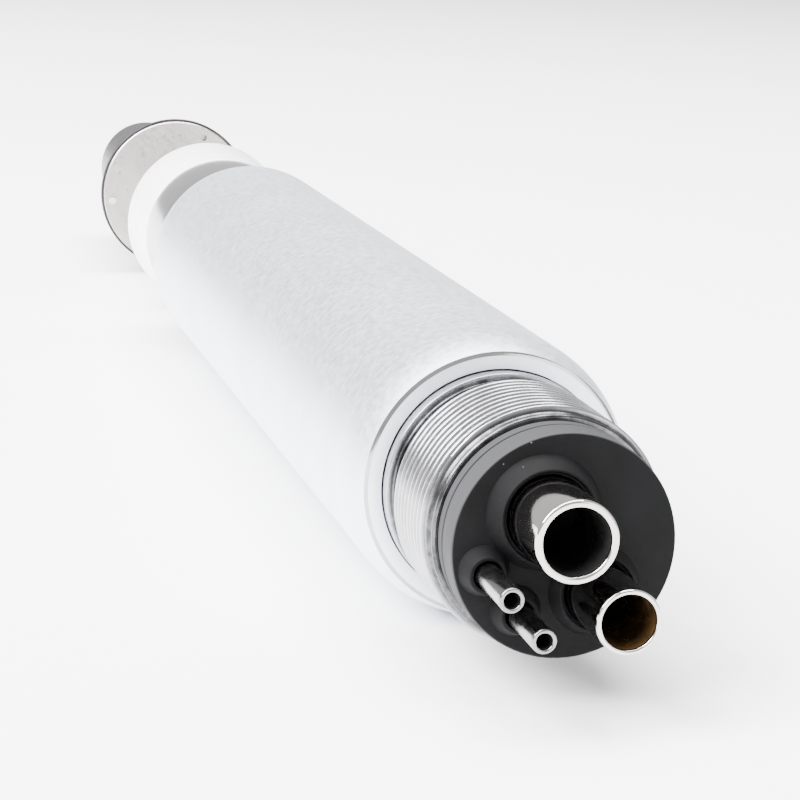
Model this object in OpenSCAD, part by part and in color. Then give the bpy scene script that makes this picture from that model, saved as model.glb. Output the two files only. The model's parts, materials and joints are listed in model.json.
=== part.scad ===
// In-line air turbine dental handpiece with a four-tube threaded rear connector.
// Millimetres. +X runs forward to the nose, the origin is the collar's rear rim on the axis.

/* [Handle] */
// Barrel radius
barrel_r = 7.5; // [7:0.1:8.5]
// Barrel rear edge position
barrel_x0 = 9.2; // [8:0.1:11]
// Where the barrel starts to round towards the front
barrel_x1 = 80.5; // [75:0.5:82]
// Front edge of the satin barrel
barrel_x2 = 84; // [83:0.5:86]
// Barrel bore radius
barrel_bore_r = 6.5; // [6.3:0.05:6.6]

/* [Hose connector] */
// Thread crest radius
thread_r = 6; // [5.9:0.05:6.1]
// Thread pitch
thread_pitch = 0.65; // [0.5:0.05:0.8]
// Thread ridges
thread_count = 10; // [8:1:11]
// Depth of the thread
thread_depth = 0.33; // [0.2:0.01:0.4]
// Gasket radius
gasket_r = 5.45; // [5.3:0.05:5.6]
// How far the gasket stands behind the collar
gasket_out = 2.6; // [2:0.1:3]

/* [Tubes] */
// Exhaust tube position, sideways
exhaust_y = 1.12; // [1:0.05:1.5]
// Exhaust tube position, up
exhaust_z = 1.66; // [1.5:0.05:2]
// Exhaust tube outside radius
exhaust_r = 1.95; // [1.8:0.05:2.1]
// Exhaust tube bore radius
exhaust_bore = 1.58; // [1.4:0.02:1.7]
// Drive air tube position, sideways
drive_y = -1.55; // [-1.8:0.05:-1.3]
// Drive air tube position, up
drive_z = -2.09; // [-2.3:0.01:-1.9]
// Drive air tube outside radius
drive_r = 1.55; // [1.4:0.05:1.6]
// Drive air tube bore radius
drive_bore = 1.29; // [1.1:0.01:1.35]
// Water tube position, sideways
water_y = 3.85; // [3.6:0.05:4]
// Water tube position, up
water_z = -1.1; // [-1.3:0.05:-0.9]
// Chip air tube position, sideways
chip_y = 2.23; // [2:0.01:2.5]
// Chip air tube position, up
chip_z = -3.03; // [-3.2:0.01:-2.8]
// Thin tube outside radius
thin_r = 0.6; // [0.5:0.01:0.7]
// Thin tube bore radius
thin_bore = 0.37; // [0.25:0.01:0.45]
// Rear end of the two wide tubes
wide_end = -7.94; // [-9:0.01:-7]
// Rear end of the two thin tubes
thin_end = -7.5; // [-8:0.1:-7]

/* [Chuck ring] */
// Ring radius at its rear edge
ring_r0 = 6.42; // [6.3:0.01:6.6]
// Ring radius at its front edge
ring_r1 = 6.88; // [6.6:0.01:7]
// Rear face of the ring
ring_x0 = 95.05; // [95:0.01:95.2]
// Front face of the ring
ring_x1 = 103.2; // [102:0.1:103.25]
// How far the ring turns, in degrees
ring_turn = 45; // [30:1:60]
// How far the plunger moves
plunger_travel = 1; // [0.8:0.1:1]
// Direction of the cross pin about the axis
pin_angle = 17; // [10:1:20]
// Cross pin position at rest
pin_x = 97; // [96.5:0.1:97.5]
// Cross pin radius
pin_r = 0.5; // [0.4:0.05:0.55]

/* [Nose] */
// Rear face of the polished plate
plate_x = 121.8; // [121:0.1:123]
// Plate radius
plate_r = 6.72; // [6.5:0.01:6.8]
// Radius of the nose's base flange
nose_r = 6.94; // [6.8:0.01:7]
// Front end of the dark nose
nose_x1 = 143.4; // [142:0.1:144]
// Front end of the spindle
spindle_x1 = 146; // [145:0.1:147]
// Tool shank bore radius
shank_r = 0.8; // [0.79:0.005:1.18]

/* [Turbine] */
// Bearing bore radius
bearing_r0 = 1.5875; // [1.5:0.0005:1.6]
// Bearing outside radius
bearing_r1 = 3.175; // [3.1:0.005:3.2]
// Bearing width
bearing_w = 2.4; // [2.3:0.01:2.8]
// Bearing ball radius
ball_r = 0.5; // [0.4:0.01:0.5]
// Balls in each bearing
ball_count = 7; // [6:1:8]
// Centre of the rear bearing
rear_bearing_x = 127; // [127:0.1:127.2]
// Centre of the front bearing
front_bearing_x = 135.7; // [135.5:0.1:136]
// Impeller radius
impeller_r = 3.4; // [3:0.01:3.45]
// Impeller pockets
impeller_pockets = 8; // [7:1:9]

/* [Colours] */
// Satin aluminium
satin = [0.86, 0.87, 0.91];
// Polished steel
steel = [0.75, 0.75, 0.77];
// Rubber
rubber = [0.12, 0.12, 0.13];
// Brass and bronze
brass = [0.72, 0.56, 0.3];
// White ring
white = [0.95, 0.95, 0.96];
// Dark nose
dark = [0.3, 0.29, 0.31];
// Plastic hoses
hose = [0.75, 0.78, 0.8];

/* [Hidden] */
$fn = 64;
eps = 0.01;
fine = 32;
collar_bore = 5;
block_x0 = 1.5;
block_x1 = 12;
relief_x = 8.3;
lip_x = 10.45;
collar_x1 = 17;
thread_x = 0.7;
thread_end = thread_x + thread_count * thread_pitch;
crest = 0.16;
line_x0 = 12.1;
line_x1 = 74.5;
manifold_x0 = 77;
manifold_x1 = 87.95;
neck_x0 = 88;
neck_x1 = 125;
neck_step = 104.6;
thin_neck_r = 3.4;
neck_r = 5;
sleeve_bore = 6;
plunger_bore = 1.75;
web_x0 = 102;
rod_bore = 1.1;
seat_r = 3.57;
port_r = 2.6;
nose_port_r = 4.05;
link_x = 124.3;
thin_port = 0.28;
wide_port = 0.45;
water_angle = atan2(water_z, water_y);
chip_angle = atan2(chip_z, chip_y);
drive_angle = atan2(drive_z, drive_y);
exhaust_angle = atan2(exhaust_z, exhaust_y);
stop_angle = 107;
stop_r = 5.45;
stop_x0 = 93.4;
stop_x1 = 95.4;
stop_pin_r = 0.25;
slot_step = 3;
pitch_r = (bearing_r0 + bearing_r1) / 2;
index_angle = -7;
index_rho = 6;
spray_r = 2.7;
disc_count = 6;
disc_pitch = 0.53;
disc_t = 0.14;
free_x = -3.8;

module turned(profile) {
    rotate([0, 90, 0]) rotate_extrude() polygon(profile);
}

module rod(x0, x1, r) {
    translate([x0, 0, 0]) rotate([0, 90, 0]) cylinder(h = x1 - x0, r = r);
}

module pipe(x0, x1, outer, inner) {
    difference() {
        rod(x0, x1, outer);
        rod(x0 - 1, x1 + 1, inner);
    }
}

module at(y, z) {
    translate([0, y, z]) children();
}

module polar(angle, rho) {
    translate([0, rho * cos(angle), rho * sin(angle)]) children();
}

// A round bar pointing outwards at an angle about the axis
module spoke(x, angle, r0, r1, r) {
    translate([x, 0, 0])
        rotate([angle, 0, 0])
        rotate([-90, 0, 0])
        translate([0, 0, r0])
        cylinder(h = r1 - r0, r = r);
}

module o_ring(x, ring_radius, cord_r) {
    translate([x, 0, 0])
        rotate([0, 90, 0])
        rotate_extrude()
        translate([ring_radius, 0])
        circle(r = cord_r, $fn = 20);
}

// A cone standing up from the gasket face round a tube
module boss(y, z, base, top, high) {
    at(y, z) translate([-gasket_out - high, 0, 0])
        rotate([0, 90, 0])
        cylinder(h = high + eps, r1 = top, r2 = base);
}

module hose_gasket() {
    color(rubber)
    difference() {
        union() {
            turned([[0, -gasket_out], [gasket_r - 0.12, -gasket_out], [gasket_r, -gasket_out + 0.12],
                [gasket_r, -0.85], [gasket_r - 0.1, -0.78], [gasket_r - 0.1, -0.68], [gasket_r, -0.6],
                [gasket_r, -0.02], [4.95, -0.02], [4.95, block_x0 - 0.02], [0, block_x0 - 0.02]]);
            boss(exhaust_y, exhaust_z, 2.68, 2.29, 1.09);
            boss(drive_y, drive_z, 2.1, 1.86, 0.8);
            boss(water_y, water_z, 1.12, 0.86, 0.9);
            boss(chip_y, chip_z, 1.12, 0.86, 0.9);
        }
        at(exhaust_y, exhaust_z) rod(-9, 3, exhaust_r + 0.03);
        at(exhaust_y, exhaust_z) rod(-9, -gasket_out - 0.3, exhaust_r + 0.17);
        at(drive_y, drive_z) rod(-9, 3, drive_r + 0.03);
        at(drive_y, drive_z) rod(-9, -gasket_out - 0.2, drive_r + 0.15);
        at(water_y, water_z) rod(-9, 3, thin_r + 0.03);
        at(water_y, water_z) rod(-9, -gasket_out - 0.3, thin_r + 0.12);
        at(chip_y, chip_z) rod(-9, 3, thin_r + 0.03);
        at(chip_y, chip_z) rod(-9, -gasket_out - 0.3, thin_r + 0.12);
    }
}

// A tube with a small bevel at its rear end, relieved by a hair where it is fixed
module connector_tube(x0, x1, outer, inner) {
    turned([[inner, x0], [outer - 0.08, x0], [outer, x0 + 0.08], [outer, free_x],
        [outer - 0.01, free_x + 0.65], [outer - 0.01, x1], [inner, x1]]);
}

module exhaust_tube() {
    color(steel) at(exhaust_y, exhaust_z) connector_tube(wide_end, 14, exhaust_r, exhaust_bore, $fn = 48);
}

module drive_air_tube() {
    color(steel) at(drive_y, drive_z) connector_tube(wide_end, 14, drive_r, drive_bore, $fn = 40);
}

module water_tube() {
    color(steel) at(water_y, water_z) connector_tube(thin_end, 14, thin_r, thin_bore, $fn = 24);
}

module chip_air_tube() {
    color(steel) at(chip_y, chip_z) connector_tube(thin_end, 14, thin_r, thin_bore, $fn = 24);
}

module connector_block() {
    color(brass)
    difference() {
        rod(block_x0, block_x1, collar_bore - 0.02);
        at(exhaust_y, exhaust_z) rod(0, 13, exhaust_r + 0.02);
        at(drive_y, drive_z) rod(0, 13, drive_r + 0.02);
        at(water_y, water_z) rod(0, 13, thin_r + 0.02, $fn = fine);
        at(chip_y, chip_z) rod(0, 13, thin_r + 0.02, $fn = fine);
    }
}

module threaded_collar() {
    root = thread_r - thread_depth;
    flank = (thread_pitch - crest) / 2;
    steps = [0.02, flank, flank + crest, thread_pitch - 0.02];
    ridges = [for (i = [0 : thread_count - 1], p = [0 : 3])
        [p == 1 || p == 2 ? thread_r : root,
            thread_x + i * thread_pitch + steps[p]]];
    color(steel)
    turned(concat(
        [[collar_bore, 0], [5.62, 0], [5.71, 0.09], [5.71, 0.28], [5.62, 0.4], [5.62, 0.6], [root, 0.68]],
        ridges,
        [[5.62, thread_end + 0.1], [5.62, relief_x], [5.9, relief_x], [5.98, relief_x + 0.08],
            [5.98, lip_x + 0.02], [6.35, lip_x + 0.02], [6.35, 12.2], [5.85, 12.2], [5.85, 13.1],
            [6.35, 13.1], [6.35, collar_x1], [collar_bore, collar_x1]]));
}

module collar_o_ring() {
    color(rubber) o_ring(12.65, 6.12, 0.235);
}

module barrel_shell() {
    color(satin)
    turned([[6.05, barrel_x0], [barrel_r - 0.78, barrel_x0], [barrel_r - 0.58, barrel_x0 + 0.12],
        [barrel_r - 0.4, barrel_x0 + 0.55], [barrel_r - 0.2, barrel_x0 + 1.35],
        [barrel_r - 0.06, barrel_x0 + 2.4], [barrel_r, barrel_x0 + 3.6], [barrel_r, barrel_x1],
        [barrel_r - 0.03, barrel_x1 + 1], [barrel_r - 0.11, barrel_x1 + 1.9],
        [barrel_r - 0.24, barrel_x1 + 2.7], [barrel_r - 0.4, barrel_x1 + 3.2], [barrel_r - 0.58, barrel_x2],
        [barrel_bore_r, barrel_x2], [barrel_bore_r, 18], [6.38, 18], [6.38, lip_x], [6.05, lip_x]]);
}

module exhaust_muffler() {
    color(brass) pipe(19, 45, barrel_bore_r - 0.05, 5.1);
}

module air_line(y, z, inner, outer) {
    color(hose) at(y, z) pipe(line_x0, line_x1, outer, inner, $fn = fine);
}

module drive_line() {
    air_line(drive_y, drive_z, drive_r + 0.01, drive_r + 0.45);
}

module water_line() {
    air_line(water_y, water_z, thin_r + 0.01, thin_r + 0.3);
}

module chip_air_line() {
    air_line(chip_y, chip_z, thin_r + 0.01, thin_r + 0.3);
}

module air_manifold() {
    color(steel)
    difference() {
        union() {
            rod(manifold_x0, manifold_x1, sleeve_bore - 0.02);
            at(drive_y, drive_z) rod(72, manifold_x0 + 1, drive_r, $fn = fine);
            at(water_y, water_z) rod(72, manifold_x0 + 1, thin_r, $fn = fine);
            at(chip_y, chip_z) rod(72, manifold_x0 + 1, thin_r, $fn = fine);
        }
        at(drive_y, drive_z) rod(71, 89, drive_r - 0.35, $fn = fine);
        at(water_y, water_z) rod(71, 87.6, thin_bore, $fn = fine);
        at(chip_y, chip_z) rod(71, 87.6, thin_bore, $fn = fine);
        for (a = [exhaust_angle : 32 : exhaust_angle + 64])
            polar(a, 3.2) rod(76, 89, 0.9, $fn = fine);
        for (a = [water_angle, chip_angle]) {
            spoke(87.3, a, port_r, 3.9, 0.2, $fn = 20);
            polar(a, port_r) rod(87.3, 89, thin_port, $fn = 20);
        }
    }
}

module front_sleeve() {
    color(steel)
    turned([[sleeve_bore, 76], [barrel_bore_r - 0.02, 76], [barrel_bore_r - 0.02, barrel_x2 + 0.05],
        [6.86, barrel_x2 + 0.05], [6.82, 86.5], [6.72, 89.5], [6.58, 92.5], [ring_r0 + 0.05, 94.3],
        [ring_r0 - 0.06, 94.95], [sleeve_bore, 94.95]]);
}

module pin_slot(angle) {
    width = 2 * (pin_r + 0.05);
    spoke(pin_x, angle, 1, 6, width / 2, $fn = fine);
    spoke(pin_x + plunger_travel, angle, 1, 6, width / 2, $fn = fine);
    rotate([angle, 0, 0]) translate([pin_x, 1, -width / 2]) cube([plunger_travel, 5, width]);
}

module neck_housing() {
    color(steel)
    difference() {
        turned([[plunger_bore, neck_x0], [sleeve_bore - 0.02, neck_x0], [sleeve_bore - 0.02, ring_x0 - 0.1],
            [neck_r, ring_x0 - 0.1], [neck_r, 103.3], [neck_r - 0.25, 103.3], [neck_r - 0.25, 104.1],
            [neck_r, 104.1], [neck_r, neck_step - 0.2], [neck_r - 0.2, neck_step], [thin_neck_r, neck_step],
            [thin_neck_r, neck_x1], [rod_bore, neck_x1], [rod_bore, web_x0], [plunger_bore, web_x0]]);
        pin_slot(pin_angle);
        pin_slot(pin_angle + 180);
        for (a = [water_angle, chip_angle, drive_angle]) {
            polar(a, port_r) rod(87, link_x + 0.3, a == drive_angle ? wide_port : thin_port, $fn = 20);
            spoke(link_x, a, port_r, 4, 0.2, $fn = 20);
        }
        for (a = [exhaust_angle : 32 : exhaust_angle + 64])
            polar(a, port_r) rod(87, 126, 0.4, $fn = 24);
        polar(stop_angle, stop_r) rod(stop_x0 - eps, 96, stop_pin_r + 0.01, $fn = 24);
    }
}

module chuck_ring() {
    color(white)
    difference() {
        turned([[neck_r + 0.05, ring_x0], [ring_r0 - 0.1, ring_x0], [ring_r0, ring_x0 + 0.1],
            [ring_r1, ring_x1 - 0.12], [ring_r1 - 0.12, ring_x1], [neck_r + 0.05, ring_x1]]);
        for (side = [0, 180])
            for (turn = [0 : slot_step : ring_turn])
                spoke(pin_x + plunger_travel * turn / ring_turn, pin_angle + side - turn, 4, 5.85,
                    pin_r + 0.06, $fn = 24);
        rotate([stop_angle + 5, 0, 0])
            translate([94, 0, 0])
            rotate([0, 90, 0])
            rotate([0, 0, 90])
            rotate_extrude(angle = -ring_turn - 10)
            translate([stop_r - stop_pin_r - 0.06, 0])
            square([2 * stop_pin_r + 0.12, stop_x1 - 94 + 0.06]);
    }
}

module retaining_clip() {
    color(steel)
    difference() {
        pipe(103.34, 104.04, 5.6, neck_r - 0.23);
        rotate([-60, 0, 0]) translate([103, 0, -0.9]) cube([2, 8, 1.8]);
    }
}

module stop_pin() {
    color(steel) polar(stop_angle, stop_r) rod(stop_x0, stop_x1, stop_pin_r, $fn = 24);
}

module cross_pin() {
    color(steel) spoke(pin_x, pin_angle, -5.75, 5.75, pin_r, $fn = 24);
}

module release_plunger() {
    color(steel)
    difference() {
        union() {
            rod(93, 98.7, plunger_bore - 0.05);
            rod(98.5, 124.6, 1, $fn = fine);
        }
        spoke(pin_x, pin_angle, -4, 4, pin_r + 0.01, $fn = 24);
    }
}

// Disc springs stacked cone against cone
module release_spring() {
    color(steel)
    for (i = [0 : disc_count - 1]) {
        x = 98.74 + i * disc_pitch;
        rise = disc_pitch - disc_t - 0.02;
        near = i % 2 == 0 ? 0 : rise;
        far = rise - near;
        turned([[1.1, x + near], [1.1, x + near + disc_t], [1.66, x + far + disc_t], [1.66, x + far]]);
    }
}

module flange_disc() {
    color(steel)
    difference() {
        turned([[thin_neck_r + 0.02, plate_x], [plate_r - 0.08, plate_x], [plate_r, plate_x + 0.08],
            [plate_r, plate_x + 0.7], [thin_neck_r + 0.02, plate_x + 0.7]]);
        polar(index_angle, index_rho) rod(plate_x - 1, plate_x + 2, 0.36, $fn = 24);
        polar(115, 5.85) rod(plate_x - 1, plate_x + 0.45, 0.3, $fn = 24);
    }
}

module index_pin() {
    color(steel) polar(index_angle, index_rho) rod(plate_x - 0.35, plate_x + 0.7, 0.35, $fn = 24);
}

module nose_cone() {
    base = plate_x + 0.2;
    color(dark)
    difference() {
        turned([[plate_r + 0.02, base], [nose_r - 0.05, base], [nose_r, base + 0.05], [nose_r, base + 0.5],
            [nose_r - 0.2, base + 0.8], [5.75, base + 2.2], [5.5, base + 4], [5.3, 128], [4.98, 134],
            [4.55, 142.4], [4.4, nose_x1], [seat_r, nose_x1], [seat_r, neck_x1 + 0.05],
            [thin_neck_r + 0.02, neck_x1 + 0.05], [thin_neck_r + 0.02, base + 0.53],
            [plate_r + 0.02, base + 0.53]]);
        for (a = [water_angle, chip_angle, drive_angle]) {
            far = a == drive_angle ? 131 : 140.6;
            polar(a, nose_port_r) rod(link_x - 0.35, far + 0.35, thin_port, $fn = 20);
            spoke(link_x, a, 3, nose_port_r, 0.2, $fn = 20);
            spoke(far, a, 3, nose_port_r, 0.2, $fn = 20);
        }
    }
}

module bearing_retainer() {
    color(steel) pipe(front_bearing_x + bearing_w / 2 + 0.05, 138.4, seat_r - 0.02, 2.2);
}

module spray_ring() {
    color(brass)
    difference() {
        turned([[1.75, 138.95], [3.55, 138.95], [3.55, 140.1], [3, 140.1], [3, 141.1], [3.55, 141.1],
            [3.55, nose_x1], [1.75, nose_x1]]);
        for (a = [30, 150, 270])
            polar(a, spray_r) rod(140.5, 144, 0.35, $fn = 20);
    }
}

module nose_cap() {
    color(steel)
    difference() {
        turned([[1.72, nose_x1 + 0.04], [4.38, nose_x1 + 0.04], [4.2, 144.4], [3.6, 145.2], [3.1, 145.4],
            [1.72, 145.4]]);
        for (a = [30, 150, 270])
            polar(a, spray_r) rod(143, 146, 0.3, $fn = 20);
    }
}

module spindle() {
    r = bearing_r0 - 0.0075;
    rear_x1 = rear_bearing_x + bearing_w / 2;
    front_x0 = front_bearing_x - bearing_w / 2;
    color(steel)
    turned([[0.65, 125.75], [r, 125.75], [r, rear_x1 + 0.03], [1.85, rear_x1 + 0.03], [1.85, 129.35],
        [r, 129.35], [r, 133.45], [1.85, 133.45], [1.85, front_x0 - 0.03], [r, front_x0 - 0.03],
        [r, spindle_x1 - 0.15], [r - 0.15, spindle_x1], [1.2, spindle_x1], [1.2, 133], [0.65, 133]]);
}

module impeller() {
    color(brass)
    difference() {
        pipe(129.4, 133.4, impeller_r, bearing_r0);
        for (i = [0 : impeller_pockets - 1])
            polar(i * 360 / impeller_pockets, 3) rod(129.8, 133, 0.8, $fn = 24);
        for (i = [0 : impeller_pockets - 1])
            polar((i + 0.28) * 360 / impeller_pockets, 3.5) rod(129.8, 133, 0.8, $fn = 24);
    }
}

module collet() {
    color(steel)
    difference() {
        rod(133.05, spindle_x1 - 0.02, 1.18, $fn = 40);
        rod(134, spindle_x1 + 1, shank_r, $fn = 40);
        for (a = [0, 120, 240])
            rotate([a, 0, 0]) translate([137, 0.3, -0.07]) cube([10, 2, 0.14]);
    }
}

module drawbar() {
    color(steel) rod(125.75, 132.98, 0.6, $fn = 24);
}

module inner_race(x) {
    color(steel)
    difference() {
        translate([x, 0, 0]) pipe(-bearing_w / 2, bearing_w / 2, 2, bearing_r0);
        o_ring(x, pitch_r, ball_r + 0.02);
    }
}

module outer_race(x) {
    color(steel)
    difference() {
        translate([x, 0, 0]) pipe(-bearing_w / 2, bearing_w / 2, bearing_r1, 2.72);
        o_ring(x, pitch_r, ball_r + 0.02);
    }
}

module balls(x) {
    color(steel)
    for (i = [0 : ball_count - 1])
        translate([x, 0, 0]) polar(i * 360 / ball_count, pitch_r) sphere(r = ball_r, $fn = 16);
}

module cage(x) {
    color(brass)
    difference() {
        translate([x, 0, 0]) pipe(-0.8, 0.8, 2.62, 2.12, $fn = 48);
        for (i = [0 : ball_count - 1])
            spoke(x, i * 360 / ball_count, 1.5, 3.5, ball_r + 0.03, $fn = 20);
    }
}

module rear_inner_race() {
    inner_race(rear_bearing_x);
}

module rear_outer_race() {
    outer_race(rear_bearing_x);
}

module rear_balls() {
    balls(rear_bearing_x);
}

module rear_cage() {
    cage(rear_bearing_x);
}

module front_inner_race() {
    inner_race(front_bearing_x);
}

module front_outer_race() {
    outer_race(front_bearing_x);
}

module front_balls() {
    balls(front_bearing_x);
}

module front_cage() {
    cage(front_bearing_x);
}

module rear_bearing_o_ring() {
    color(rubber) o_ring(rear_bearing_x, (bearing_r1 + seat_r) / 2, 0.185);
}

module front_bearing_o_ring() {
    color(rubber) o_ring(front_bearing_x, (bearing_r1 + seat_r) / 2, 0.185);
}

module preload_washer() {
    color(steel)
    turned([[2.3, neck_x1 + 0.05], [2.3, neck_x1 + 0.2], [3.1, 125.77], [3.3, 125.77], [3.3, 125.6],
        [2.5, neck_x1 + 0.05]]);
}

hose_gasket();
exhaust_tube();
drive_air_tube();
water_tube();
chip_air_tube();
connector_block();
threaded_collar();
collar_o_ring();
barrel_shell();
exhaust_muffler();
drive_line();
water_line();
chip_air_line();
air_manifold();
front_sleeve();
neck_housing();
chuck_ring();
retaining_clip();
stop_pin();
cross_pin();
release_plunger();
release_spring();
flange_disc();
index_pin();
nose_cone();
bearing_retainer();
spray_ring();
nose_cap();
spindle();
impeller();
collet();
drawbar();
rear_inner_race();
rear_outer_race();
rear_balls();
rear_cage();
front_inner_race();
front_outer_race();
front_balls();
front_cage();
rear_bearing_o_ring();
front_bearing_o_ring();
preload_washer();
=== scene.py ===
"""Looks of an in-line air turbine dental handpiece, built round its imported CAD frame.

Millimetres are used for every shape and turned into metres as the meshes are made.
+X runs along the axis to the nose, and angles about the axis go from +Y towards +Z.
"""

import functools
import json
import math

import bmesh
import bpy
from mathutils import Matrix, Vector


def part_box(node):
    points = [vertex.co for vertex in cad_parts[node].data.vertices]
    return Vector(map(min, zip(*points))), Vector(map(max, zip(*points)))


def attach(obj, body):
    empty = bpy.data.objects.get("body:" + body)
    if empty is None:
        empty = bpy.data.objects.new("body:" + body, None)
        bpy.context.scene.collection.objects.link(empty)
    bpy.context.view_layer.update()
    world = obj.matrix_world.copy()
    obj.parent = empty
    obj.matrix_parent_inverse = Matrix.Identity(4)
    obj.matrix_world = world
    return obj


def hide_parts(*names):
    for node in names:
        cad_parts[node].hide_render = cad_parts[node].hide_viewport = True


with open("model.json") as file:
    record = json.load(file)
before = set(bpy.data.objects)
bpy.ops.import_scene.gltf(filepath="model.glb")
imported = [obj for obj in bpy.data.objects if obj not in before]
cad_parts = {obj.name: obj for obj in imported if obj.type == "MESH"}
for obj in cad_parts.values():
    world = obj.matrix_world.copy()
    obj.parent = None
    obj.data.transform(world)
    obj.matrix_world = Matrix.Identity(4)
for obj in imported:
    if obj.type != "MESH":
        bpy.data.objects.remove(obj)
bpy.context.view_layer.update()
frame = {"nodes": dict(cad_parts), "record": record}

MM = 0.001
TAU = 2 * math.pi


# ---------------------------------------------------------------- frame sizes


@functools.cache
def low(node):
    """The lowest corner of a CAD node, in millimetres."""
    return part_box(node)[0] / MM


@functools.cache
def high(node):
    """The highest corner of a CAD node, in millimetres."""
    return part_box(node)[1] / MM


def radius(node):
    """Half of a round CAD node's width, in millimetres."""
    return (high(node).y - low(node).y) / 2


def centre(node):
    """Where a CAD node's own axis crosses the YZ plane, in millimetres."""
    mid = (high(node) + low(node)) / 2
    return mid.y, mid.z


# ------------------------------------------------------------------ mesh code


def rounded(corners, steps=5):
    """A closed outline of (x, r) points from corners (x, r, round-off), each rounded by a curve."""
    out = []
    count = len(corners)
    for i, corner in enumerate(corners):
        here = Vector(corner[:2])
        size = corner[2] if len(corner) > 2 else 0
        if not size:
            out.append(tuple(here))
            continue
        back = Vector(corners[i - 1][:2]) - here
        ahead = Vector(corners[(i + 1) % count][:2]) - here
        a = here + back.normalized() * min(size, back.length * 0.49)
        b = here + ahead.normalized() * min(size, ahead.length * 0.49)
        for k in range(steps + 1):
            t = k / steps
            out.append(tuple(a * (1 - t) ** 2 + here * 2 * t * (1 - t) + b * t**2))
    return out


def lathe(bm, outline, middle=(0, 0), segments=192, shape=None, material=None):
    """Turns a closed outline of (x, r) about a line along X through middle = (y, z).

    shape(x, r, angle) changes the radius, and material(x, r) gives a face its slot.
    """
    rings = []
    for x, r in outline:
        ring = []
        for k in range(segments):
            angle = TAU * k / segments
            rr = shape(x, r, angle) if shape else r
            at = (x * MM, (middle[0] + rr * math.cos(angle)) * MM, (middle[1] + rr * math.sin(angle)) * MM)
            ring.append(bm.verts.new(at))
        rings.append(ring)
    for i, ring in enumerate(rings):
        after = rings[(i + 1) % len(rings)]
        xa, ra = outline[i]
        xb, rb = outline[(i + 1) % len(outline)]
        if ra == 0 and rb == 0:
            continue
        slot = material((xa + xb) / 2, (ra + rb) / 2) if material else 0
        for k in range(segments):
            n = (k + 1) % segments
            face = bm.faces.new((ring[k], after[k], after[n], ring[n]))
            face.material_index = slot
    return rings


def piece(name, bm, body, materials, replaces=(), sharp=32):
    """Makes an object of the mesh, closes it at the axis, shades it and puts it on its body."""
    bmesh.ops.remove_doubles(bm, verts=bm.verts, dist=1e-7)
    loose = [v for v in bm.verts if not v.link_faces]
    bmesh.ops.delete(bm, geom=loose, context="VERTS")
    bmesh.ops.recalc_face_normals(bm, faces=bm.faces)
    mesh = bpy.data.meshes.new(name)
    bm.to_mesh(mesh)
    bm.free()
    mesh.shade_smooth()
    mesh.set_sharp_from_angle(angle=math.radians(sharp))
    for m in materials:
        mesh.materials.append(m)
    obj = bpy.data.objects.new(name, mesh)
    bpy.context.scene.collection.objects.link(obj)
    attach(obj, body)
    if replaces:
        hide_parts(*replaces)
    return obj


def turned(name, corners, body, slot_name, materials, replaces=(), **options):
    """A lathed piece from rounded corners."""
    bm = bmesh.new()
    lathe(bm, rounded(corners), **options)
    return piece(name, bm, body, materials, replaces)


def smooth(t):
    """An ease from 0 to 1."""
    t = min(1, max(0, t))
    return t * t * (3 - 2 * t)


# ------------------------------------------------------------------ materials


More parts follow.
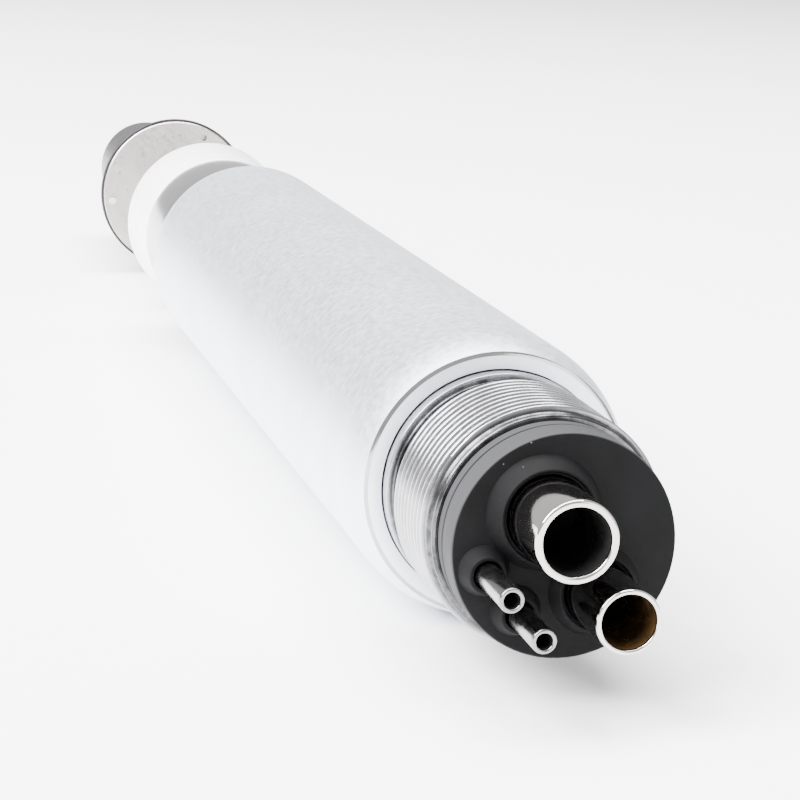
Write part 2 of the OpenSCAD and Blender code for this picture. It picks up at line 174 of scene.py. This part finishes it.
class Nodes:
    """A material's node tree with short calls for the nodes used here."""

    def __init__(self, name, **shader):
        self.material = bpy.data.materials.new(name)
        self.material.use_nodes = True
        self.tree = self.material.node_tree
        self.shader = self.tree.nodes["Principled BSDF"]
        for key, value in shader.items():
            socket = self.shader.inputs[key.replace("_", " ")]
            socket.default_value = (*value, 1) if isinstance(value, tuple) else value
        self.place = self.tree.nodes.new("ShaderNodeTexCoord").outputs["Object"]

    def new(self, kind, **settings):
        node = self.tree.nodes.new("ShaderNode" + kind)
        for key, value in settings.items():
            setattr(node, key, value)
        return node

    def link(self, value, socket):
        if hasattr(value, "is_linked"):
            self.tree.links.new(value, socket)
        else:
            socket.default_value = value

    def math(self, operation, a, b=0.0, clamp=False):
        node = self.new("Math", operation=operation, use_clamp=clamp)
        self.link(a, node.inputs[0])
        self.link(b, node.inputs[1])
        return node.outputs[0]

    def scaled(self, vector, scale):
        """The coordinates times a scale in 1/m, one number or three."""
        node = self.new("VectorMath", operation="MULTIPLY")
        self.link(vector, node.inputs[0])
        node.inputs[1].default_value = scale if isinstance(scale, tuple) else (scale,) * 3
        return node.outputs[0]

    def noise(self, scale, detail=3.0, rough=0.5, vector=None):
        node = self.new("TexNoise")
        self.link(self.scaled(vector or self.place, scale), node.inputs["Vector"])
        node.inputs["Scale"].default_value = 1
        node.inputs["Detail"].default_value = detail
        node.inputs["Roughness"].default_value = rough
        return node.outputs["Fac"]

    def cells(self, scale, vector=None):
        """Distance to the nearest of scattered points."""
        node = self.new("TexVoronoi")
        self.link(self.scaled(vector or self.place, scale), node.inputs["Vector"])
        node.inputs["Scale"].default_value = 1
        return node.outputs["Distance"]

    def spread(self, value, a, b, c=0.0, d=1.0):
        """value from a..b onto c..d, held at the ends."""
        node = self.new("MapRange")
        for socket, v in zip(node.inputs, (value, a, b, c, d)):
            self.link(v, socket)
        return node.outputs[0]

    def mix(self, factor, a, b):
        node = self.new("Mix", data_type="RGBA")
        self.link(factor, node.inputs["Factor"])
        for socket, v in ((node.inputs[6], a), (node.inputs[7], b)):
            self.link((*v, 1) if isinstance(v, tuple) else v, socket)
        return node.outputs[2]

    def axial(self, middle=(0, 0)):
        """(x, distance from the axis, 0), so that a pattern follows the turning marks."""
        split = self.new("SeparateXYZ")
        self.link(self.place, split.inputs[0])
        dy = self.math("SUBTRACT", split.outputs["Y"], middle[0] * MM)
        dz = self.math("SUBTRACT", split.outputs["Z"], middle[1] * MM)
        square = self.math("ADD", self.math("MULTIPLY", dy, dy), self.math("MULTIPLY", dz, dz))
        join = self.new("CombineXYZ")
        self.link(split.outputs["X"], join.inputs[0])
        self.link(self.math("SQRT", square), join.inputs[1])
        return join.outputs[0]

    def colour(self, value):
        self.link(value, self.shader.inputs["Base Color"])

    def roughness(self, value):
        self.link(value, self.shader.inputs["Roughness"])

    def bump(self, *layers):
        """Stacks bumps. Each layer is (height, strength, depth in millimetres)."""
        normal = None
        for height, strength, depth in layers:
            node = self.new("Bump")
            node.inputs["Strength"].default_value = strength
            node.inputs["Distance"].default_value = depth * MM
            self.link(height, node.inputs["Height"])
            if normal:
                self.link(normal, node.inputs["Normal"])
            normal = node.outputs[0]
        self.link(normal, self.shader.inputs["Normal"])


def satin_metal(name, colour, rough=0.42, blast=9000, specks=0.3):
    """Bead-blasted aluminium: a fine grain, faint cloudiness, a few dark specks."""
    n = Nodes(name, Metallic=1.0)
    grain = n.noise(blast, 2)
    cloud = n.noise(180, 4)
    dark = tuple(c * 0.93 for c in colour)
    tone = n.mix(n.spread(cloud, 0.35, 0.65), dark, colour)
    tone = n.mix(n.spread(grain, 0.3, 0.75, 0.0, 0.12), tone, tuple(c * 0.75 for c in colour))
    spot = n.spread(n.cells(900), 0.055, 0.1, 1, 0)
    rare = n.spread(n.noise(600, 0), 0.58, 0.62)
    mark = n.math("MULTIPLY", n.math("MULTIPLY", spot, rare), specks)
    n.colour(n.mix(mark, tone, (0.25, 0.25, 0.28)))
    n.roughness(n.spread(n.noise(2500, 3), 0.3, 0.7, rough - 0.05, rough + 0.06))
    n.bump((grain, 0.3, 0.01), (n.noise(2600, 3), 0.06, 0.012))
    return n.material


def turned_metal(name, colour, rough=0.16, marks=0.25, middle=(0, 0), tarnish=0.9):
    """Polished metal with fine turning marks round its axis."""
    n = Nodes(name, Metallic=1.0)
    lines = n.noise((16000, 16000, 1), 3, vector=n.axial(middle))
    cloud = n.noise(700, 4)
    tone = n.mix(n.spread(cloud, 0.4, 0.7), colour, tuple(c * tarnish for c in colour))
    n.colour(n.mix(n.spread(lines, 0.35, 0.7, 0.0, 0.12), tone, tuple(c * 0.7 for c in colour)))
    n.roughness(n.spread(n.noise(3000, 3), 0.3, 0.7, rough * 0.75, rough * 1.35))
    n.bump((lines, marks, 0.006), (n.noise(5200, 3), 0.12, 0.006))
    return n.material


def rubber(name, colour=(0.003, 0.003, 0.0033), lit_side_colour=(0.035, 0.035, 0.037)):
    """Moulded black rubber with a little dust, and a lighter grey outer side that is painted light standing
    in for grazing light.
    """
    n = Nodes(name, Specular_IOR_Level=0.07)
    fine = n.noise(7000, 3)
    smudge = n.noise(500, 4)
    split = n.new("SeparateXYZ")
    n.link(n.axial(), split.inputs[0])
    # Painted light: the outer side of the gasket, beyond 5.36 mm from the axis, gets a lighter grey that
    # stands in for grazing light on it.
    side = n.spread(split.outputs["Y"], 5.36 * MM, 5.42 * MM)
    tone = n.mix(n.spread(smudge, 0.4, 0.75), colour, tuple(c * 1.8 for c in colour))
    # Painted light: mixes in the lighter grey of the lit outer side.
    tone = n.mix(side, tone, lit_side_colour)
    dust = n.spread(n.cells(1500), 0.03, 0.06, 1, 0)
    rare = n.spread(n.noise(900, 0), 0.57, 0.61)
    n.colour(n.mix(n.math("MULTIPLY", n.math("MULTIPLY", dust, rare), 0.4), tone, (0.3, 0.3, 0.32)))
    n.roughness(n.spread(smudge, 0.3, 0.7, 0.6, 0.72))
    n.bump((fine, 0.3, 0.01), (n.noise(1800, 2), 0.2, 0.03))
    return n.material


def cut_thread(name, colour, rough=0.22):
    """Bright turned metal with painted shade: it darkens towards the roots of its thread."""
    n = Nodes(name, Metallic=1.0)
    split = n.new("SeparateXYZ")
    n.link(n.axial(), split.inputs[0])
    # Painted shade: a darker colour at the thread roots, set by radius, stands in for the shade in the deep
    # grooves, and a noise breaks it up a little.
    root = n.spread(split.outputs["Y"], 5.78 * MM, 6.0 * MM, 1, 0)
    root_shade_breakup = n.spread(n.noise(1500, 4), 0.3, 0.7, 0.75, 1)
    tone = n.mix(n.spread(n.noise(700, 4), 0.4, 0.7), colour, tuple(c * 0.85 for c in colour))
    # Painted shade: the thread roots are mixed towards a near-black copy of the metal colour.
    n.colour(n.mix(n.math("MULTIPLY", root, root_shade_breakup), tone, tuple(c * 0.06 for c in colour)))
    n.roughness(n.spread(n.noise(3000, 3), 0.3, 0.7, rough * 0.8, rough * 1.3))
    n.bump((n.noise((16000, 16000, 1), 3, vector=n.axial()), 0.2, 0.006), (n.noise(5200, 3), 0.12, 0.006))
    return n.material


def enamel(name, colour, rough=0.3):
    """A smooth, slightly uneven coat."""
    n = Nodes(name, Coat_Weight=0.25, Coat_Roughness=0.12)
    cloud = n.noise(500, 4)
    n.colour(n.mix(n.spread(cloud, 0.35, 0.7), colour, tuple(c * 0.95 for c in colour)))
    n.roughness(n.spread(n.noise(2600, 3), 0.3, 0.7, rough - 0.06, rough + 0.08))
    n.bump((n.noise(3400, 3), 0.14, 0.01), (n.noise((9000, 9000, 1), 2, vector=n.axial()), 0.1, 0.006))
    return n.material


def anodised(name, colour, rough=0.34):
    """Dark anodised aluminium with a grain and faint turning marks."""
    n = Nodes(name, Metallic=0.75)
    lines = n.noise((9000, 9000, 1), 3, vector=n.axial())
    cloud = n.noise(420, 4)
    tone = n.mix(n.spread(cloud, 0.35, 0.7), colour, tuple(c * 1.3 for c in colour))
    n.colour(n.mix(n.spread(lines, 0.4, 0.7, 0.0, 0.2), tone, tuple(c * 0.6 for c in colour)))
    n.roughness(n.spread(n.noise(3200, 3), 0.3, 0.7, rough - 0.05, rough + 0.08))
    n.bump((lines, 0.2, 0.008), (n.noise(8000, 2), 0.25, 0.008))
    return n.material


def plastic(name, colour, rough=0.4, shine=0.5):
    """Extruded or pressed plastic for the inner parts."""
    n = Nodes(name, Specular_IOR_Level=shine)
    cloud = n.noise(900, 4)
    n.colour(n.mix(n.spread(cloud, 0.35, 0.7), colour, tuple(c * 0.85 for c in colour)))
    n.roughness(n.spread(cloud, 0.3, 0.7, rough - 0.06, rough + 0.1))
    n.bump((n.noise(5000, 3), 0.25, 0.01), (n.noise(1500, 2), 0.15, 0.02))
    return n.material


def porous(name, colour):
    """Sintered bronze."""
    n = Nodes(name, Metallic=0.9)
    pores = n.cells(5200)
    n.colour(n.mix(n.spread(pores, 0.1, 0.6), tuple(c * 0.4 for c in colour), colour))
    n.roughness(n.spread(n.noise(3000, 3), 0.3, 0.7, 0.45, 0.65))
    n.bump((pores, 0.8, 0.05), (n.noise(4000, 3), 0.3, 0.02))
    return n.material


def sooty(name, colour, metallic=0.3, rough=0.55):
    """The stained inside of an air tube."""
    n = Nodes(name, Metallic=metallic)
    stain = n.noise(1400, 4)
    n.colour(n.mix(n.spread(stain, 0.35, 0.65), colour, tuple(c * 0.35 for c in colour)))
    n.roughness(n.spread(stain, 0.3, 0.7, rough - 0.15, rough + 0.15))
    n.bump((n.noise(4200, 3), 0.3, 0.02), (stain, 0.2, 0.03))
    return n.material


SATIN = satin_metal("satin_aluminium", (0.8, 0.825, 0.895), 0.46)
COLLAR = cut_thread("turned_collar", (0.42, 0.42, 0.44))
POLISH = turned_metal("polished_band", (0.4, 0.395, 0.39), 0.12, 0.15)
PLATE = turned_metal("ground_plate", (0.5, 0.475, 0.455), 0.36, 0.25, tarnish=0.95)
CREAM = turned_metal("cream_pin", (0.97, 0.93, 0.85), 0.3, 0.1)
PIN = turned_metal("ground_steel", (0.68, 0.68, 0.7), 0.28, 0.3)
RUBBER = rubber("black_rubber")
WHITE = enamel("white_enamel", (0.95, 0.95, 0.955))
DARK = anodised("dark_anodised", (0.035, 0.032, 0.037))
HOSE = plastic("clear_grey_hose", (0.5, 0.54, 0.56))
PHENOLIC = plastic("brown_phenolic", (0.26, 0.13, 0.05), 0.5)
BRASS = turned_metal("machined_brass", (0.66, 0.47, 0.2), 0.28, 0.3)
BRONZE = porous("sintered_bronze", (0.5, 0.33, 0.16))
SOOT = sooty("black_inside", (0.01, 0.009, 0.009))
UMBER = sooty("brown_inside", (0.11, 0.06, 0.02), 0.6, 0.38)

FINISH = {
    "steel": POLISH,
    "inner_steel": PIN,
    "rubber": RUBBER,
    "brass": BRASS,
    "white": WHITE,
    "dark": DARK,
    "hose": HOSE,
    "bronze": BRONZE,
    "cage": PHENOLIC,
    "satin": SATIN,
}

for entry in frame["record"]["subparts"]:
    node = frame["nodes"][entry["node"]]
    node.data.materials.clear()
    node.data.materials.append(FINISH[entry["material_slot"]])


# ------------------------------------------------------------- hose connector

GASKET_X = -2.6
GASKET_INNER = 4.9
COLLAR_BORE = 5.0
COLLAR_R = 6.35
RELIEF_R = 5.6
STEP_R = 5.98
LIP_X = 10.47
gasket_r = radius("hose_gasket")
block_x = high("hose_gasket").x


def gasket():
    """The rubber gasket with a flared boss round every tube."""
    bm = bmesh.new()
    lathe(
        bm,
        rounded(
            [
                (GASKET_X, 0),
                (GASKET_X, gasket_r, 0.14),
                (-0.9, gasket_r, 0.06),
                (-0.86, gasket_r - 0.12, 0.03),
                (-0.72, gasket_r - 0.12, 0.03),
                (-0.68, gasket_r, 0.06),
                (-0.04, gasket_r, 0.1),
                (-0.04, GASKET_INNER),
                (block_x, GASKET_INNER),
                (block_x, 0),
            ]
        ),
        segments=256,
    )
    bosses = (
        ("exhaust_tube", 2.68, 2.3, 1.09, True),
        ("drive_air_tube", 2.12, 1.86, 0.8, True),
        ("water_tube", 1.14, 0.88, 0.9, False),
        ("chip_air_tube", 1.14, 0.88, 0.9, False),
    )
    for node, base, top, tall, lip in bosses:
        r = radius(node)
        face, crown = GASKET_X, GASKET_X - tall
        corners = [(face + 0.05, base + 0.12), (face, base + 0.1, 0.12), (crown, top, 0.09)]
        if lip:
            corners += [
                (crown + 0.02, top - 0.1, 0.04),
                (crown + 0.3, top - 0.13, 0.05),
                (crown + 0.22, top - 0.2, 0.04),
                (crown + 0.24, r + 0.07, 0.04),
            ]
        else:
            corners += [(crown + 0.02, r + 0.1, 0.05)]
        corners += [(face + 0.05, r + 0.06)]
        lathe(bm, rounded(corners), middle=centre(node), segments=96)
    piece("gasket_rubber", bm, "handle", [RUBBER], ["hose_gasket"])


TUBE_FINISH = {
    "exhaust_tube": turned_metal("nickel_exhaust", (0.56, 0.535, 0.51), 0.07, 0.05, centre("exhaust_tube")),
    "drive_air_tube": turned_metal("nickel_drive", (0.55, 0.53, 0.505), 0.08, 0.05, centre("drive_air_tube")),
    "water_tube": turned_metal("steel_water", (0.2, 0.197, 0.195), 0.18, 0.08, centre("water_tube")),
    "chip_air_tube": turned_metal("steel_chip_air", (0.2, 0.197, 0.195), 0.18, 0.08, centre("chip_air_tube")),
}


def tube(node, inside, rim, inner_r):
    """A plated tube with a rounded mouth and a stained inside."""
    x0, x1, r = low(node).x, high(node).x, radius(node)
    corners = [
        (x0 + 0.05, inner_r, 0.12),
        (x0, (inner_r + r) / 2, 0.14),
        (x0 + 0.05, r, 0.16),
        (x1, r),
        (x1, inner_r),
    ]
    bm = bmesh.new()
    lathe(
        bm,
        rounded(corners, 7),
        middle=centre(node),
        segments=128,
        material=lambda x, rr: 1 if rr < inner_r + 0.02 and x > x0 + rim else 0,
    )
    piece(node + "_plated", bm, "handle", [TUBE_FINISH[node], inside], [node])


THREAD_PITCH = 0.65
THREAD_X0 = 0.6
THREAD_X1 = 7.35
THREAD_DEPTH = 0.33
THREAD_CREST = 6.0


def thread_radius(x, r, angle):
    """A real helical thread on the stretch of the collar that has one."""
    if not THREAD_X0 <= x <= THREAD_X1 or r < 5.5:
        return r
    turn = (x / THREAD_PITCH - angle / TAU) % 1
    side = abs(turn - 0.5) * 2
    height = min(1, max(0, (side - 0.12) / 0.62))
    fade = smooth((x - THREAD_X0) / 0.25) * smooth((THREAD_X1 - x) / 0.5)
    return THREAD_CREST - THREAD_DEPTH * (1 - height * fade)


def collar():
    """The threaded collar: bright rim, undercut, helical thread, relief and step ring."""
    head = rounded(
        [
            (0, COLLAR_BORE),
            (0, RELIEF_R, 0.05),
            (0.1, 5.71, 0.06),
            (0.3, 5.71, 0.06),
            (0.42, 5.58, 0.04),
            (0.56, RELIEF_R, 0.03),
        ]
    )
    steps = int((THREAD_X1 - THREAD_X0) / THREAD_PITCH * 20)
    root = THREAD_CREST - THREAD_DEPTH
    worm = [(THREAD_X0 + (THREAD_X1 - THREAD_X0) * i / steps, root) for i in range(steps + 1)]
    x1 = high("threaded_collar").x
    tail = rounded(
        [
            (7.45, RELIEF_R, 0.08),
            (8.3, RELIEF_R, 0.1),
            (8.34, STEP_R, 0.07),
            (LIP_X, STEP_R),
            (LIP_X, COLLAR_R, 0.1),
            (12.2, COLLAR_R),
            (12.2, 5.85),
            (13.1, 5.85),
            (13.1, COLLAR_R),
            (x1, COLLAR_R),
            (x1, COLLAR_BORE),
        ]
    )
    bm = bmesh.new()
    lathe(bm, head + worm + tail, segments=288, shape=thread_radius)
    piece("collar_threaded", bm, "handle", [COLLAR], ["threaded_collar"], sharp=75)


gasket()
for name, stain, inner in (
    ("exhaust_tube", SOOT, 1.58),
    ("drive_air_tube", UMBER, 1.29),
):
    tube(name, stain, 0.25, inner)
for name in ("water_tube", "chip_air_tube"):
    tube(name, SOOT, 0.15, 0.37)
collar()


# ------------------------------------------------------------ barrel and front

barrel_r = radius("barrel_shell")
barrel_x0 = low("barrel_shell").x
barrel_x2 = high("barrel_shell").x
SHOULDER = 3.5
SHOULDER_DROP = 0.58
REAR_FACE_R = 6.72
REAR_ROUND_R = 6.92
REAR_ROUND = 3.4
BEVEL = 0.12
BARREL_BORE = 6.5
SEAT_BORE = 6.38
REAR_BORE = 6.05
SEAT_DEPTH = 1.25


def barrel():
    """The satin tube: flat rear face, thin bright bevel, rounded rear, straight body, rounded front."""
    outline = [
        (barrel_x0 + SEAT_DEPTH, REAR_BORE),
        (barrel_x0, REAR_BORE),
        (barrel_x0, REAR_FACE_R),
        (barrel_x0 + BEVEL, REAR_ROUND_R),
    ]
    for i in range(1, 19):
        t = i / 18
        swell = 1 - (1 - t) ** 2.4
        outline.append((barrel_x0 + BEVEL + REAR_ROUND * t, REAR_ROUND_R + (barrel_r - REAR_ROUND_R) * swell))
    start, end = barrel_x2 - SHOULDER, barrel_x0 + BEVEL + REAR_ROUND
    outline += [(end + (start - end) * i / 24, barrel_r) for i in range(1, 25)]
    for i in range(1, 21):
        t = i / 20
        outline.append((start + SHOULDER * t, barrel_r - SHOULDER_DROP * t**2.6))
    outline += [
        (barrel_x2, BARREL_BORE),
        (18, BARREL_BORE),
        (18, SEAT_BORE),
        (barrel_x0 + SEAT_DEPTH, SEAT_BORE),
    ]
    bm = bmesh.new()

    def bevel(x, r):
        """The polished slot on the bevel, the satin one elsewhere."""
        return 1 if barrel_x0 < x < barrel_x0 + BEVEL and r > REAR_FACE_R else 0

    lathe(bm, outline, segments=256, material=bevel)
    piece("barrel_satin", bm, "handle", [SATIN, POLISH], ["barrel_shell"])


barrel()

sleeve_x1 = high("front_sleeve").x
turned(
    "front_band",
    [
        (low("front_sleeve").x, 6.0),
        (low("front_sleeve").x, 6.48),
        (barrel_x2 + 0.05, 6.48),
        (barrel_x2 + 0.06, 6.86, 0.05),
        (86.5, 6.82, 1.0),
        (89.5, 6.72, 1.0),
        (92.5, 6.58, 1.0),
        (94.3, 6.46, 0.3),
        (sleeve_x1, 6.34, 0.1),
        (sleeve_x1, 6.0),
    ],
    "handle",
    "steel",
    [POLISH],
    ["front_sleeve"],
    segments=256,
)

ring_lo, ring_hi = low("chuck_ring"), high("chuck_ring")
turned(
    "chuck_ring_white",
    [
        (ring_lo.x, 5.05),
        (ring_lo.x, 6.42, 0.12),
        (ring_hi.x, 6.88, 0.16),
        (ring_hi.x, 5.05),
    ],
    "ring",
    "white",
    [WHITE],
    ["chuck_ring"],
    segments=256,
)

NECK_SEAT = 3.44
NOSE_BORE = 3.57
nose_lo, nose_hi = low("nose_cone"), high("nose_cone")
turned(
    "nose_dark",
    [
        (nose_lo.x + 0.54, NECK_SEAT),
        (nose_lo.x + 0.54, 6.74),
        (nose_lo.x, 6.74),
        (nose_lo.x, 6.94, 0.06),
        (nose_lo.x + 0.5, 6.94, 0.1),
        (nose_lo.x + 0.8, 6.74, 0.15),
        (nose_lo.x + 2.2, 5.75, 0.5),
        (nose_lo.x + 4, 5.5, 0.6),
        (128, 5.3, 1.0),
        (134, 4.98, 1.5),
        (142.4, 4.55, 0.8),
        (nose_hi.x, 4.4, 0.15),
        (nose_hi.x, NOSE_BORE),
        (125.05, NOSE_BORE),
        (125.05, NECK_SEAT),
    ],
    "handle",
    "dark",
    [DARK],
    ["nose_cone"],
    segments=256,
)
frame["nodes"]["flange_disc"].data.materials[0] = PLATE
frame["nodes"]["index_pin"].data.materials[0] = CREAM


# ------------------------------------------------------- floor, light, camera


def floor():
    """A plain pale sheet under the handpiece."""
    bm = bmesh.new()
    size = 3.0
    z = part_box("barrel_shell")[0].z - 0.0001
    around = ((-size, -size), (size, -size), (size, size), (-size, size))
    corners = [bm.verts.new((x, y, z)) for x, y in around]
    bm.faces.new(corners)
    mesh = bpy.data.meshes.new("floor")
    bm.to_mesh(mesh)
    bm.free()
    n = Nodes("pale_floor", Specular_IOR_Level=0.2)
    cloud = n.noise(8, 3)
    n.colour(n.mix(n.spread(cloud, 0.3, 0.7), (0.93, 0.93, 0.935), (0.95, 0.95, 0.955)))
    n.roughness(n.spread(cloud, 0.3, 0.7, 0.7, 0.8))
    mesh.materials.append(n.material)
    obj = bpy.data.objects.new("floor", mesh)
    bpy.context.scene.collection.objects.link(obj)


def area_light(name, at, towards, size, power, colour=(1, 1, 1)):
    """A square soft light, placed and sized in metres."""
    data = bpy.data.lights.new(name, "AREA")
    data.shape = "RECTANGLE"
    data.size, data.size_y = size
    data.energy = power
    data.color = colour
    obj = bpy.data.objects.new(name, data)
    obj.location = at
    obj.rotation_euler = (Vector(towards) - Vector(at)).to_track_quat("-Z", "Y").to_euler()
    bpy.context.scene.collection.objects.link(obj)


def lights():
    """Large soft boxes and a pale surround."""
    middle = (0.05, 0, 0)
    area_light("key", (-0.1, 0.5, 0.5), middle, (0.5, 0.5), 34)
    area_light("top", (0.1, 0.0, 0.7), middle, (0.6, 0.4), 19)
    area_light("fill", (-0.5, -0.4, 0.2), middle, (0.4, 0.4), 2.5)
    world = bpy.data.worlds.new("surround")
    bpy.context.scene.world = world
    world.use_nodes = True
    back = world.node_tree.nodes["Background"]
    back.inputs["Color"].default_value = (1, 1, 1, 1)
    back.inputs["Strength"].default_value = 1.05


def camera():
    """Looks along the handpiece from behind its hose end, from the left and a little above."""
    data = bpy.data.cameras.new("camera")
    data.sensor_width = 36
    data.lens = 112.5
    data.clip_start = 0.005
    data.clip_end = 20
    obj = bpy.data.objects.new("camera", data)
    forward = Vector((0.9501, -0.2357, -0.2043)).normalized()
    up = Vector((0.2102, 0, 0.9777))
    right = forward.cross(up).normalized()
    up = right.cross(forward)
    spin = Matrix((right, up, -forward)).transposed()
    obj.matrix_world = Matrix.Translation(Vector((-109.7, 34.8, 30.0)) * MM) @ spin.to_4x4()
    bpy.context.scene.collection.objects.link(obj)
    bpy.context.scene.camera = obj


floor()
lights()
camera()
